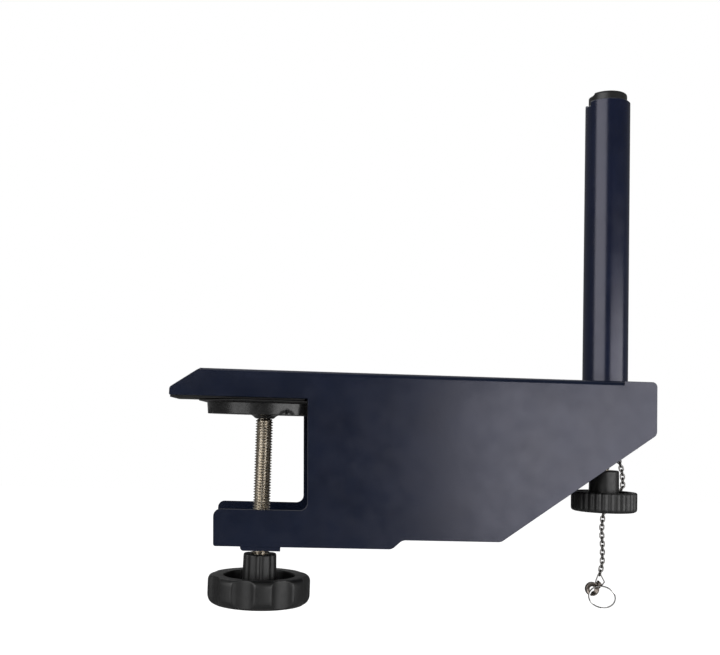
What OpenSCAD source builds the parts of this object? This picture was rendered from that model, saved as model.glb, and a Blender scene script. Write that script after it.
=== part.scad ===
// Table tennis net clamp: a bent sheet-steel bracket that grips the edge of the table top
// between a padded jaw and a pressure disc on a thumb screw, and carries the net post.
// Frame: X runs from the table outwards to the post, Y across the bracket, Z up.
// The origin lies where the table's top surface meets its side edge, on the mid plane.

/* [Bracket] */
// Width over both cheeks
bracket_w = 46; // [44:0.5:54]
// Thickness of the sheet steel
sheet = 1.8; // [1.4:0.1:2]
// Outside radius of the bends between web and cheeks
bend_r = 2.1; // [2:0.1:3]
// Height of the web's outer face above the table top
web_h = 13.2; // [12.5:0.1:16]
// How far the jaw reaches over the table
jaw_reach = 60.6; // [56:0.2:66]
// Length of the sloped nose, along X
nose_run = 12.95; // [10:0.05:14]
// Fall of the sloped nose
nose_drop = 8.8; // [7:0.1:9.2]
// Clear height of the throat below the table top
throat_h = 48.05; // [44:0.05:54]
// Lean of the throat's back edge over its height
throat_lean = 1.4; // [0.6:0.1:2]
// Radius in the throat's lower corner
throat_r = 3.4; // [1:0.1:5]
// Height of the lower arm
arm_h = 16; // [14:0.5:20]
// Reach of the lower arm under the table
arm_reach = 39.65; // [36:0.05:44]
// Lean of the arm's end over its height
arm_lean = 0.55; // [0:0.05:1]
// Place of the step behind the arm
step_x = 39; // [30:1:44]
// Length of the step
step_run = 4.5; // [4:0.5:7]
// Height of the step
step_h = 4.05; // [3.2:0.05:5]
// Place where the lower edge starts to climb to the post
slope_x = 87.6; // [80:0.2:96]
// Depth of the rear edge
rear_h = 23.9; // [22:0.1:26]
// Rear edge behind the post's axis
rear_margin = 16.3; // [15.6:0.1:22]
// Height of the cheeks' lower edges above the table top at the jaw
jaw_gap = 1; // [0.6:0.1:1.6]

/* [Jaw] */
// Thickness of the jaw's rubber pad
pad_t = 2; // [1.8:0.1:2.2]
// Pad's front end, behind the nose
pad_setback = 0.3; // [0.2:0.1:4]
// Pad's rear end, in front of the table's edge
pad_end = 1.2; // [0.6:0.1:3]

/* [Clamp screw] */
// Screw axis from the table's edge
screw_x = 18.7; // [18.2:0.1:20]
// Thread diameter of the clamp screw
screw_d = 8; // [7:0.5:8.5]
// Width of the nut across its flats
nut_af = 13; // [12:0.5:15]
// Height of the nut
nut_h = 6.5; // [5:0.5:8]
// Width of the bridge that carries the nut
bridge_w = 17.5; // [16:0.5:20]
// Height of the screw's head
head_h = 4.5; // [4:0.1:5]
// Diameter of the neck that turns in the pressure disc
neck_d = 5.5; // [4.5:0.5:6]

/* [Pressure disc] */
// Radius of the disc at its contact side
disc_r = 26.5; // [24:0.1:27]
// Radius of the disc at its underside
disc_low_r = 26; // [22:0.1:26.5]
// Thickness of the disc
disc_t = 5; // [4.2:0.1:5]
// Radius of the rubber lip
lip_r = 30.4; // [29:0.1:31]
// Thickness of the rubber lip
lip_t = 1.3; // [1:0.1:1.6]
// Gap between the closed disc and the jaw pad
closed_gap = 0.3; // [0.3:0.1:1]
// Radius of the boss at its lower end
boss_r = 4.6; // [4.4:0.1:6]
// How much the boss widens up to the disc
boss_flare = 1.5; // [0.5:0.1:3]
// Height of the boss
boss_h = 1.7; // [1.5:0.1:2.5]

/* [Clamp knob] */
// Outside radius of the clamp knob
knob_r = 23.3; // [21:0.1:26]
// Height of the knob's grip
knob_h = 13.2; // [12.8:0.1:16]
// Knob's rim below the arm's lower edge
knob_drop = 14.95; // [13:0.05:20]
// Number of lobes
lobes = 8; // [6:1:9]
// Turn of the lobes at rest
lobe_turn = 4.6; // [0:0.1:20]
// Radius of the scallops between the lobes
scallop_r = 9; // [7:0.5:11]
// Depth of the scallops
scallop_depth = 2.3; // [1:0.1:3]
// Radius of the hollow round the hub
knob_hollow_r = 16.25; // [14:0.25:17]
// Depth of the hollow
knob_hollow = 7; // [5:0.5:7.5]
// Radius of the hub at its top
hub_r = 7.4; // [7:0.1:8]
// Height of the hub above the rim
hub_h = 9.3; // [7:0.1:11]

/* [Post] */
// Post axis from the table's edge
post_x = 142; // [136:0.5:150]
// Outside diameter of the post
post_d = 21; // [18:0.5:22]
// Wall of the post
post_wall = 1.5; // [1.2:0.1:2]
// Height of the tube's end above the table top
post_top = 148.2; // [140:0.1:160]
// Height of the cap above the tube's end
cap_h = 4.3; // [3:0.1:6]
// Length of the cap inside the tube
cap_in = 8; // [6:1:12]
// Lower end of the tube below the table top
foot_depth = 11; // [9:0.5:11.5]
// How much the tube's bare foot stands back from its painted wall
foot_step = 0.35; // [0.25:0.05:0.45]
// Width of the cord notch in the tube's end
notch_w = 8; // [5:0.5:10]
// Depth of the cord notch
notch_depth = 2; // [1:0.1:2.5]
// Depth of the cord notch in the cap, below its top
cap_notch_depth = 2.35; // [1:0.05:3]
// How far the cap's notch reaches in from its side
cap_notch_in = 2; // [1:0.1:3]
// Wall of the sleeve that guides the post
sleeve_wall = 1.95; // [1.5:0.05:2.5]
// How far the post can be raised
lift_up = 4.8; // [3:0.1:5]
// How far the post can be lowered
lift_down = 2.4; // [1:0.1:2.6]

/* [Height screw] */
// Thread diameter of the height screw
stud_d = 5; // [4:0.5:6]
// Outside radius of the height knob
small_r = 15.2; // [14:0.1:16]
// Height of the height knob's rim
small_h = 9.2; // [8:0.1:11]
// Top of the height knob's hub below the table top
small_hub_z = 28; // [27:0.1:32]
// Height of the hub above the rim
small_hub_h = 10; // [8:0.1:12]
// Radius of the hub
small_hub_r = 6.85; // [5.5:0.05:8]
// Number of flutes round the rim
flutes = 30; // [24:1:40]

/* [Chain] */
// Wire of the chain's links
link_wire = 0.65; // [0.5:0.05:0.7]
// Outside width of a link
link_w = 2.6; // [2.5:0.1:3]
// Wanted length from one link to the next
link_pitch = 2.05; // [1.9:0.05:2.3]
// Wire of the ring that holds the chain to the cheek
anchor_wire = 0.9; // [0.7:0.1:1]
// Radius of the clasp's round body
clasp_r = 3.33; // [3:0.01:3.6]
// Thickness of the clasp's round body
clasp_t = 2.4; // [2:0.1:2.8]
// Radius of the split ring, at the middle of its wire
ring_r = 6.3; // [5.6:0.1:7]
// Wire of the split ring
ring_wire = 0.6; // [0.5:0.1:0.7]

/* [Clearances] */
// Radial clearance of a shaft or thread in its bore
run_gap = 0.05; // [0.02:0.01:0.1]
// Gap between parts that move past each other
pass_gap = 0.4; // [0.3:0.05:0.5]
// Axial play of a captive screw
end_play = 0.1; // [0.05:0.05:0.2]

/* [Hidden] */
$fn = 72;
// Points along each rounded corner of an outline
CORNER_STEPS = 6;
// Overshoot of a cutter past the face that it cuts
CUT = 2;

// Bracket
inner_w = bracket_w - 2 * sheet;
rear_x = post_x + rear_margin;
rear_low = web_h - rear_h;
arm_top = -throat_h;
arm_low = -throat_h - arm_h;
body_low = arm_low + step_h;
nose_low = web_h - nose_drop;
nose_top_x = nose_run - jaw_reach;
web_end = post_x + 1;
web_under = web_h - sheet;
nose_angle = atan2(nose_drop, nose_run);
// Thickness of the sloped nose, measured straight down
nose_v = sheet / cos(nose_angle);
slope_rate = (rear_low - body_low) / (rear_x - slope_x);
// Height of the cheeks' climbing lower edge at a place along X
function edge_z(x) = rear_low - slope_rate * (rear_x - x);

// Jaw
plate_low = pad_t;
plate_top = pad_t + sheet;
// Where the nose's underside clears the jaw plate
plate_start = -jaw_reach + (plate_top + nose_v + pass_gap - nose_low) / tan(nose_angle);

// Clamp screw and disc
screw_r = screw_d / 2;
neck_r = neck_d / 2;
lip_top = -closed_gap;
disc_top = lip_top - lip_t;
disc_low = disc_top - disc_t;
boss_low = disc_low - boss_h;
clip_recess_r = neck_r + 2.75;
clip_floor = disc_top - 3.6;
clip_t = 1;
clip_r = clip_recess_r - 0.9;
bridge_low = arm_low - sheet;
rim_top = arm_low - knob_drop;
knob_low = rim_top - knob_h;
hub_top = rim_top + hub_h;
hub_taper = 0.5;
plug_r = nut_af / 2 + 2;
plug_t = 1.5;
head_low = knob_low + plug_t;

// Post
post_r = post_d / 2;
post_in_r = post_r - post_wall;
foot_r = post_r - foot_step;
sleeve_r = foot_r + run_gap;
sleeve_out_r = sleeve_r + sleeve_wall;
sleeve_top = web_under - 0.1;
// Where the painted wall starts, clear of the sleeve when the post is lowered
paint_low = sleeve_top + lift_down + 0.1;
sleeve_low = -foot_depth - 2;
plate_t = 2.5;
guide_reach = 15;
upper_guide_z = sleeve_top - 4.3;
lower_guide_z = sleeve_low + 4;
screw_plate_top = -foot_depth - lift_down - 1.4;
screw_plate_low = screw_plate_top - plate_t;
screw_plate_half = 8;
foot_plug_low = -foot_depth + 2.5;
foot_plug_h = 12.5;
rivet_z = -foot_depth + 6;
rivet_r = 1.2;
rivet_head_r = 1.5;
rivet_head = 1.4;
rivet_in = 4;

// Height screw
stud_r = stud_d / 2;
stud_top = foot_plug_low + foot_plug_h + 1;
small_rim_top = -small_hub_z - small_hub_h;
small_low = small_rim_top - small_h;
small_hollow_r = small_r - 2.5;
small_hollow = 6.5;
stud_low = small_low + 3.2;
ring_clip_r = stud_r + 3;
ring_clip_t = 0.8;
lock_nut_af = 1.6 * stud_d;
lock_nut_h = 0.8 * stud_d;

// Chain
anchor_r = 2 + anchor_wire / 2;
anchor_x = rear_x - 5;
anchor_y = (bracket_w - sheet) / 2;
anchor_z = edge_z(anchor_x) + 0.6;
anchor_hole_r = 0.9;
anchor_hole_z = anchor_z + anchor_r - 0.1;
link_gap = 0.1;
chain_start = [anchor_x, anchor_y, anchor_z - anchor_r + anchor_wire / 2];
// Corners of the chain's route from its ring, past the height knob and down to the clasp
CHAIN_CORNERS = [
    [0, 0, 0],
    [1.7, -1.1, -4.4],
    [4, -2.3, -10.4],
    [4.9, -2.6, -15.4],
    [5.2, -2.6, -20.9],
    [1.7, -2.6, -26.9],
    [-3.3, -2.6, -31.4],
    [-4.7, -2.6, -34.9],
    [-5.3, -2.6, -42.4],
    [-4.8, -2.6, -50.4],
    [-4.8, -2.6, -58.4],
    [-6.1, -2.6, -64.2]
];
CHAIN_ROUTE = [for (corner = CHAIN_CORNERS) chain_start + corner];
// Corner of the route below which the chain hangs free
FREE_FROM = 7;
chain_length = length_to(len(CHAIN_ROUTE) - 1);
link_count = 2 * round(chain_length / link_pitch / 2);
pitch = chain_length / link_count;
pivot_link = ceil(length_to(FREE_FROM) / pitch);

// Clasp and split ring, placed from the chain's lower end
chain_end = CHAIN_ROUTE[len(CHAIN_ROUTE) - 1];
bail_wire = 0.6;
// The bail's short top bar passes through the last link, whose wire lies between its two legs
bail_left_top = chain_end + [-0.5, 0, 0.62];
bail_right_top = chain_end + [0.3, 0, 0.62];
collar_at = chain_end + [-0.4, 0, -4.6];
collar_r = 1.75;
collar_groove_r = 1.35;
collar_axis_angle = 219;
clasp_at = chain_end + [-3.7, 0, -6.8];
clasp_hole_r = 2.1;
clasp_rim = 0.23;
clasp_land = 0.4;
clasp_slot_angle = 247;
ring_out = [cos(-38), 0, sin(-38)];
ring_tilt = 35;

// ---- Functions -------------------------------------------------------------------------

function unit(v) = v / norm(v);

// Tangent arc of radius r in the corner b between the points a and c
function corner_arc(a, b, c, r) =
    let(
        u = unit(a - b),
        v = unit(c - b),
        half = acos(u * v) / 2,
        mid = b + unit(u + v) * r / sin(half),
        first = b + u * r / tan(half) - mid,
        last = b + v * r / tan(half) - mid,
        start = atan2(first[1], first[0]),
        turn = atan2(last[1], last[0]) - start,
        sweep = turn > 180 ? turn - 360 : turn < -180 ? turn + 360 : turn
    )
    [for (i = [0:CORNER_STEPS])
        mid + r * [cos(start + sweep * i / CORNER_STEPS), sin(start + sweep * i / CORNER_STEPS)]];

// Closed outline from corners [x, z, radius]
function rounded(corners) =
    let(n = len(corners), at = [for (c = corners) [c[0], c[1]]])
    [for (i = [0:n - 1])
        each (corners[i][2] > 0
            ? corner_arc(at[(i + n - 1) % n], at[i], at[(i + 1) % n], corners[i][2])
            : [at[i]])];

// Length of the chain's route up to its corner k
function length_to(k) = k <= 0 ? 0 : length_to(k - 1) + norm(CHAIN_ROUTE[k] - CHAIN_ROUTE[k - 1]);

// Stretch of the route that holds the length s
function stretch_of(s, k = 1) =
    k >= len(CHAIN_ROUTE) - 1 || s <= length_to(k) ? k : stretch_of(s, k + 1);

// Point of the route at the length s
function route_at(s) =
    let(k = stretch_of(s), a = CHAIN_ROUTE[k - 1], b = CHAIN_ROUTE[k])
    a + unit(b - a) * (s - length_to(k - 1));

// ---- Shapes used more than once --------------------------------------------------------

// Extrudes an XZ outline to the width w across the mid plane
module across(w) {
    rotate([90, 0, 0])
        translate([0, 0, -w / 2])
            linear_extrude(w) children();
}

// Bore or shaft along Z from z0 to z1
module shaft(r, z0, z1) {
    translate([0, 0, z0]) cylinder(r = r, h = z1 - z0);
}

// Hexagon prism along Z, its flats af apart
module hex_prism(af, z0, z1) {
    translate([0, 0, z0]) cylinder(r = af / 2 / cos(30), h = z1 - z0, $fn = 6);
}

// Straight wire between two points
module wire(a, b, d) {
    way = b - a;
    translate(a)
        rotate([0, acos(way[2] / norm(way)), atan2(way[1], way[0])])
            cylinder(d = d, h = norm(way), $fn = 24);
}

// Plate across the inside of the bracket round the post's axis
module cross_plate(z, front, back) {
    translate([post_x - front, -inner_w / 2, z]) cube([front + back, inner_w, plate_t]);
}

// One chain link round the origin, its length along Z and its flat face along Y
module chain_link() {
    bend = (link_w - link_wire) / 2;
    straight = (pitch + link_gap + link_wire) / 2 - bend;
    // the straights are a hair thinner than the bends, and their ends lie inside these
    straight_wire = link_wire - 0.03;
    end = straight + 0.1;
    for (side = [-1, 1]) {
        translate([side * bend, 0, -end]) cylinder(d = straight_wire, h = 2 * end, $fn = 20);
        translate([0, 0, side * straight])
            rotate([90, 0, 0])
                rotate([0, 0, side > 0 ? 0 : 180])
                    rotate_extrude(angle = 180, $fn = 28)
                        translate([bend, 0]) circle(d = link_wire, $fn = 20);
    }
}

// Links number first to last in their places along the route, each turned a quarter
module chain_links(first, last) {
    for (i = [first:last]) {
        from = route_at(i * pitch);
        to = route_at((i + 1) * pitch);
        along = unit(to - from);
        flat = unit([0, 1, 0] - along * along[1]);
        side = cross(flat, along);
        multmatrix([
            [side[0], flat[0], along[0], (from[0] + to[0]) / 2],
            [side[1], flat[1], along[1], (from[1] + to[1]) / 2],
            [side[2], flat[2], along[2], (from[2] + to[2]) / 2],
            [0, 0, 0, 1]
        ])
            rotate([0, 0, i % 2 == 0 ? 0 : 90]) chain_link();
    }
}

// ---- Bracket ---------------------------------------------------------------------------

// Side view of the bracket, as corners [x, z, radius]
module bracket_outline() {
    polygon(rounded([
        [-jaw_reach, nose_low, 1.8],
        [nose_top_x, web_h, 1.5],
        [rear_x, web_h, 2.3],
        [rear_x, rear_low, 3],
        [slope_x, body_low, 4],
        [step_x + step_run, body_low, 4],
        [step_x, arm_low, 4],
        [-arm_reach + arm_lean, arm_low, 1],
        [-arm_reach, arm_top, 3],
        [throat_lean, arm_top, throat_r],
        [0, jaw_gap, 0.5],
        [-jaw_reach, jaw_gap, 0.4]
    ]));
}

// Everything between the cheeks and under the web
module bracket_hollow() {
    far = 20;
    nose_far = nose_low - nose_v - far * tan(nose_angle);
    inner_bend_x = nose_top_x + (nose_v - sheet) / tan(nose_angle);
    polygon([
        [-jaw_reach - far, nose_far],
        [inner_bend_x, web_under],
        [rear_x + far, web_under],
        [rear_x + far, arm_low - far],
        [-jaw_reach - far, arm_low - far]
    ]);
}

// Cutter that rounds the bend between the web and one cheek
module bend_cutter(side) {
    length = web_end + jaw_reach;
    translate([-jaw_reach, side * (bracket_w / 2 - bend_r), web_h - bend_r])
        rotate([0, 90, 0])
            difference() {
                translate([-CUT - bend_r, side > 0 ? 0 : -bend_r - CUT, 0])
                    cube([bend_r + CUT, bend_r + CUT, length]);
                translate([0, 0, -1]) cylinder(r = bend_r, h = length + 2);
            }
}

module clamp_frame() {
    notch_r = post_r + pass_gap;
    color([0.14, 0.16, 0.24])
        difference() {
            across(bracket_w) bracket_outline();
            across(inner_w) bracket_hollow();
            for (side = [-1, 1]) {
                bend_cutter(side);
                // relief at the end of the bend, where the nose folds down
                translate([nose_top_x, side * (bracket_w - bend_r) / 2, web_under - 1])
                    cylinder(r = 0.8, h = sheet + CUT);
            }
            // slot round the post, open to the rear
            translate([post_x, 0, web_under - 1]) cylinder(r = notch_r, h = sheet + CUT);
            translate([post_x, -notch_r, web_under - 1]) cube([rear_margin + CUT, 2 * notch_r, sheet + CUT]);
            translate([web_end, -inner_w / 2, web_under - 1]) cube([rear_margin + CUT, inner_w, sheet + CUT]);
            // hole for the chain's ring, in one cheek only
            translate([anchor_x, bracket_w / 2 + 1, anchor_hole_z])
                rotate([90, 0, 0]) cylinder(r = anchor_hole_r, h = sheet + 2);
        }
}

module jaw_plate() {
    color([0.16, 0.17, 0.22])
        translate([plate_start, -inner_w / 2, plate_low])
            cube([-pad_end - plate_start, inner_w, sheet]);
}

module jaw_pad() {
    start = -jaw_reach + pad_setback;
    color([0.05, 0.05, 0.05])
        translate([start, -inner_w / 2, 0]) cube([-pad_end - start, inner_w, pad_t]);
}

module nut_bridge() {
    color([0.14, 0.16, 0.24])
        difference() {
            across(bracket_w) polygon(rounded([
                [-screw_x - bridge_w / 2, bridge_low, 1.5],
                [-screw_x - bridge_w / 2, arm_low, 0],
                [-screw_x + bridge_w / 2, arm_low, 0],
                [-screw_x + bridge_w / 2, bridge_low, 0]
            ]));
            translate([-screw_x, 0, 0]) shaft(screw_r + pass_gap, bridge_low - 1, arm_low + 1);
        }
}

module clamp_nut() {
    color([0.75, 0.73, 0.68])
        translate([-screw_x, 0, 0])
            difference() {
                hex_prism(nut_af, arm_low, arm_low + nut_h);
                shaft(screw_r + run_gap, arm_low - 1, arm_low + nut_h + 1);
            }
}

// ---- Pressure disc and clamp screw -----------------------------------------------------

module pressure_disc() {
    color([0.13, 0.13, 0.14])
        translate([-screw_x, 0, 0])
            difference() {
                rotate_extrude() polygon([
                    [0, boss_low],
                    [boss_r, boss_low],
                    [boss_r + boss_flare, disc_low],
                    [disc_low_r, disc_low],
                    [disc_r, disc_top],
                    [0, disc_top]
                ]);
                shaft(neck_r + run_gap, boss_low - 1, disc_top + 1);
                shaft(clip_recess_r, clip_floor, disc_top + 1);
            }
}

module disc_lip() {
    color([0.06, 0.06, 0.06])
        difference() {
            translate([-screw_x, 0, 0])
                rotate_extrude() polygon([
                    [0, disc_top],
                    [disc_r, disc_top],
                    [lip_r - 0.2, lip_top - 0.5],
                    [lip_r, lip_top],
                    [0, lip_top]
                ]);
            // clear of the cheeks' throat edges over the whole travel
            for (side = [-1, 1])
                translate([-pass_gap, side > 0 ? inner_w / 2 - pass_gap : -lip_r - CUT, disc_top - 1])
                    cube([lip_r, lip_r + CUT - inner_w / 2 + pass_gap, lip_t + 2]);
        }
}

module clamp_screw() {
    color([0.78, 0.75, 0.70])
        translate([-screw_x, 0, 0]) {
            hex_prism(nut_af, head_low, head_low + head_h);
            shaft(screw_r, head_low + head_h, boss_low - end_play);
            shaft(neck_r, boss_low - end_play, clip_floor + end_play + clip_t + 0.6);
        }
}

module swivel_clip() {
    color([0.6, 0.6, 0.6])
        translate([-screw_x, 0, 0])
            difference() {
                shaft(clip_r, clip_floor + end_play, clip_floor + end_play + clip_t);
                shaft(neck_r, clip_floor - 1, disc_top);
            }
}

module clamp_knob() {
    edge = 3;
    color([0.16, 0.16, 0.17])
        translate([-screw_x, 0, 0])
            difference() {
                rotate_extrude() polygon(concat(
                    [[0, knob_low]],
                    corner_arc([0, knob_low], [knob_r, knob_low], [knob_r, rim_top], edge),
                    [
                        [knob_r, rim_top - 0.8],
                        [knob_r - 0.8, rim_top],
                        [knob_hollow_r, rim_top],
                        [knob_hollow_r, rim_top - knob_hollow],
                        [hub_r + hub_taper, rim_top - knob_hollow],
                        [hub_r, hub_top - 0.6],
                        [hub_r - 0.6, hub_top],
                        [0, hub_top]
                    ]
                ));
                for (i = [0:lobes - 1])
                    rotate([0, 0, (i + 0.5) * 360 / lobes + lobe_turn])
                        translate([knob_r - scallop_depth + scallop_r, 0, 0])
                            shaft(scallop_r, knob_low - 1, rim_top + 1);
                shaft(screw_r, head_low, hub_top + 1);
                hex_prism(nut_af, knob_low - 1, head_low + head_h);
                shaft(plug_r, knob_low - 1, head_low);
            }
}

module knob_plug() {
    color([0.13, 0.13, 0.14])
        translate([-screw_x, 0, 0]) shaft(plug_r, knob_low, head_low);
}

// ---- Post and its guide ----------------------------------------------------------------

module post_sleeve() {
    slot_w = 2 * (rivet_head_r + pass_gap);
    slot_top = rivet_z + lift_up + rivet_head_r + pass_gap;
    color([0.16, 0.17, 0.22])
        translate([post_x, 0, 0])
            difference() {
                shaft(sleeve_out_r, sleeve_low, sleeve_top);
                shaft(sleeve_r, sleeve_low - 1, sleeve_top + 1);
                translate([-slot_w / 2, -sleeve_out_r - 1, sleeve_low - 1])
                    cube([slot_w, 2 * sleeve_out_r + 2, slot_top - sleeve_low + 1]);
            }
}

module guide_plate(z) {
    color([0.16, 0.17, 0.22])
        difference() {
            cross_plate(z, guide_reach, guide_reach);
            translate([post_x, 0, 0]) shaft(sleeve_out_r, z - 1, z + plate_t + 1);
        }
}

module upper_guide_plate() {
    guide_plate(upper_guide_z);
}

module lower_guide_plate() {
    guide_plate(lower_guide_z);
}

module screw_plate() {
    color([0.16, 0.17, 0.22])
        difference() {
            cross_plate(screw_plate_low, screw_plate_half, screw_plate_half);
            translate([post_x, 0, 0]) shaft(stud_r + run_gap, screw_plate_low - 1, screw_plate_top + 1);
        }
}

// One solid along Y at each of the post foot's two rivets, from depth in to height out of the wall
module at_rivets(r, in, out) {
    for (side = [-1, 1])
        translate([post_x, side * foot_r, rivet_z])
            rotate([side * -90, 0, 0])
                translate([0, 0, -in]) cylinder(r = r, h = in + out, $fn = 32);
}

module post_tube() {
    color([0.13, 0.16, 0.28])
        difference() {
            translate([post_x, 0, 0]) {
                shaft(foot_r, -foot_depth, post_top);
                shaft(post_r, paint_low, post_top);
            }
            translate([post_x, 0, 0]) shaft(post_in_r, -foot_depth - 1, post_top + 1);
            // notch for the net's cord, on the table's side
            translate([post_x - post_d, -notch_w / 2, post_top - notch_depth])
                cube([post_d, notch_w, notch_depth + 1]);
            at_rivets(rivet_r, rivet_in, 1);
        }
}

module post_cap() {
    wall = 1.8;
    crown = post_top + cap_h;
    hollow_top = crown - cap_notch_depth - wall;
    color([0.08, 0.08, 0.08])
        translate([post_x, 0, 0])
            difference() {
                rotate_extrude() polygon(concat(
                    [
                        [0, hollow_top],
                        [post_in_r - wall, hollow_top],
                        [post_in_r - wall, post_top - cap_in],
                        [post_in_r, post_top - cap_in]
                    ],
                    corner_arc([post_in_r, post_top], [post_in_r, crown], [0, crown], 2),
                    [[0, crown]]
                ));
                // notch for the cord, in line with the tube's
                translate([-post_r - post_in_r + cap_notch_in, -notch_w / 2, crown - cap_notch_depth])
                    cube([post_r, notch_w, cap_notch_depth + 1]);
            }
}

module foot_plug() {
    color([0.6, 0.6, 0.6])
        difference() {
            translate([post_x, 0, 0]) shaft(post_in_r, foot_plug_low, foot_plug_low + foot_plug_h);
            translate([post_x, 0, 0])
                shaft(stud_r + run_gap, foot_plug_low - 1, foot_plug_low + foot_plug_h + 1);
            at_rivets(rivet_r, rivet_in, 1);
        }
}

module foot_rivets() {
    color([0.7, 0.7, 0.7]) {
        at_rivets(rivet_r, rivet_in, rivet_head / 2);
        // the heads seat on the tube's round wall
        difference() {
            at_rivets(rivet_head_r, 1, rivet_head);
            translate([post_x, 0, 0]) shaft(foot_r, rivet_z - 2 * rivet_head_r, rivet_z + 2 * rivet_head_r);
        }
    }
}

// ---- Height screw ----------------------------------------------------------------------

module height_screw() {
    color([0.75, 0.73, 0.68])
        translate([post_x, 0, 0]) shaft(stud_r, stud_low, stud_top);
}

module height_knob() {
    edge = 1.5;
    flute_r = 0.9;
    flute_depth = 0.5;
    color([0.2, 0.2, 0.2])
        translate([post_x, 0, 0])
            difference() {
                rotate_extrude() polygon(concat(
                    [[0, small_low]],
                    corner_arc([0, small_low], [small_r, small_low], [small_r, small_rim_top], edge),
                    corner_arc([small_r, small_low], [small_r, small_rim_top], [0, small_rim_top], 0.9),
                    [
                        [small_hollow_r, small_rim_top],
                        [small_hollow_r, small_rim_top - small_hollow],
                        [small_hub_r, small_rim_top - small_hollow],
                        [small_hub_r, -small_hub_z - 0.6],
                        [small_hub_r - 0.6, -small_hub_z],
                        [0, -small_hub_z]
                    ]
                ));
                for (i = [0:flutes - 1])
                    rotate([0, 0, i * 360 / flutes])
                        translate([small_r - flute_depth + flute_r, 0, 0])
                            shaft(flute_r, small_low - 1, small_rim_top + 1);
                shaft(stud_r, stud_low, -small_hub_z + 1);
            }
}

module lock_nut() {
    top = screw_plate_low - end_play;
    color([0.7, 0.7, 0.7])
        translate([post_x, 0, 0])
            difference() {
                hex_prism(lock_nut_af, top - lock_nut_h, top);
                shaft(stud_r, top - lock_nut_h - 1, top + 1);
            }
}

module screw_clip() {
    low = screw_plate_top + end_play;
    color([0.6, 0.6, 0.6])
        translate([post_x, 0, 0])
            difference() {
                shaft(ring_clip_r, low, low + ring_clip_t);
                shaft(stud_r, low - 1, low + ring_clip_t + 1);
            }
}

// ---- Chain and clasp -------------------------------------------------------------------

module anchor_ring() {
    color([0.7, 0.7, 0.7])
        translate([anchor_x, anchor_y, anchor_z])
            rotate([0, 90, 0])
                rotate_extrude() translate([anchor_r, 0]) circle(d = anchor_wire, $fn = 24);
}

module chain_top() {
    color([0.7, 0.7, 0.7]) chain_links(0, pivot_link - 1);
}

module chain_pivot_link() {
    color([0.7, 0.7, 0.7]) chain_links(pivot_link, pivot_link);
}

module chain_drop() {
    color([0.7, 0.7, 0.7]) chain_links(pivot_link + 1, link_count - 1);
}

// Turns Z into the collar's axis, at the collar
module at_collar() {
    translate(collar_at) rotate([0, 90 - collar_axis_angle, 0]) children();
}

module clasp_bail() {
    left = chain_end + [-2.0, 0, -3.3];
    right = chain_end + [2.5, 0, -3.4];
    right_end = chain_end + [1.0, 0, -5.2];
    color([0.6, 0.6, 0.6])
        difference() {
            union() {
                wire(bail_left_top, bail_right_top, bail_wire);
                wire(bail_left_top, left, bail_wire);
                wire(bail_right_top, right, bail_wire);
                wire(right, right_end, bail_wire);
                wire(left, collar_at, bail_wire);
                for (p = [bail_left_top, bail_right_top, right, left])
                    translate(p) sphere(d = bail_wire, $fn = 24);
            }
            at_collar() shaft(collar_r, -1.1, 1.1);
        }
}

module clasp_collar() {
    color([0.35, 0.33, 0.33])
        difference() {
            at_collar() {
                shaft(collar_r, -1.1, -0.3);
                shaft(collar_groove_r, -0.3, 0.3);
                shaft(collar_r, 0.3, 1.1);
            }
            translate(clasp_at)
                rotate([90, 0, 0])
                    translate([0, 0, -2 * collar_r]) cylinder(r = clasp_r, h = 4 * collar_r);
        }
}

module clasp_body() {
    half = clasp_t / 2;
    color([0.3, 0.29, 0.28])
        translate(clasp_at)
            rotate([90, 0, 0])
                difference() {
                    translate([0, 0, -half]) cylinder(r = clasp_r, h = clasp_t);
                    translate([0, 0, -half - 1]) cylinder(r = clasp_hole_r, h = clasp_t + 2);
                    for (side = [0, 180])
                        rotate([side, 0, 0])
                            translate([0, 0, clasp_land / 2])
                                cylinder(
                                    r1 = clasp_hole_r,
                                    r2 = clasp_r - clasp_rim,
                                    h = half - clasp_land / 2 + 0.01
                                );
                    // slot for the ring
                    rotate([0, 0, clasp_slot_angle])
                        translate([0, 0, -half - 1])
                            linear_extrude(clasp_t + 2)
                                polygon([
                                    [0, -0.3], [clasp_r + 1, -0.8], [clasp_r + 1, 0.8], [0, 0.3]
                                ]);
                }
}

module split_ring() {
    color([0.72, 0.72, 0.72])
        translate(clasp_at + ring_out * ring_r)
            rotate([0, 38, 0])
                rotate([ring_tilt, 0, 0])
                    rotate([90, 0, 0])
                        rotate_extrude() translate([ring_r, 0]) circle(d = ring_wire, $fn = 24);
}

// ---- Output ----------------------------------------------------------------------------

clamp_frame();
jaw_plate();
jaw_pad();
nut_bridge();
clamp_nut();
post_sleeve();
upper_guide_plate();
lower_guide_plate();
screw_plate();
pressure_disc();
disc_lip();
clamp_screw();
swivel_clip();
clamp_knob();
knob_plug();
post_tube();
post_cap();
foot_plug();
foot_rivets();
height_screw();
height_knob();
lock_nut();
screw_clip();
anchor_ring();
chain_top();
chain_pivot_link();
chain_drop();
clasp_bail();
clasp_collar();
clasp_body();
split_ring();
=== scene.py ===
"""Table tennis net clamp: its visible surfaces, finishes, studio and camera.

Each sub-assembly is a class whose fields are its sizes in millimetres, in the part's own frame: X runs
from the table outwards to the post, Y across the bracket, Z up, and the origin lies where the table's
top surface meets its side edge. A mesh gets its points in metres.
"""

from __future__ import annotations

import logging
import math
from collections.abc import Callable, Sequence
from dataclasses import dataclass, field
from enum import Enum

import bmesh
import bpy
import numpy as np
from mathutils import Matrix, Vector


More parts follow.
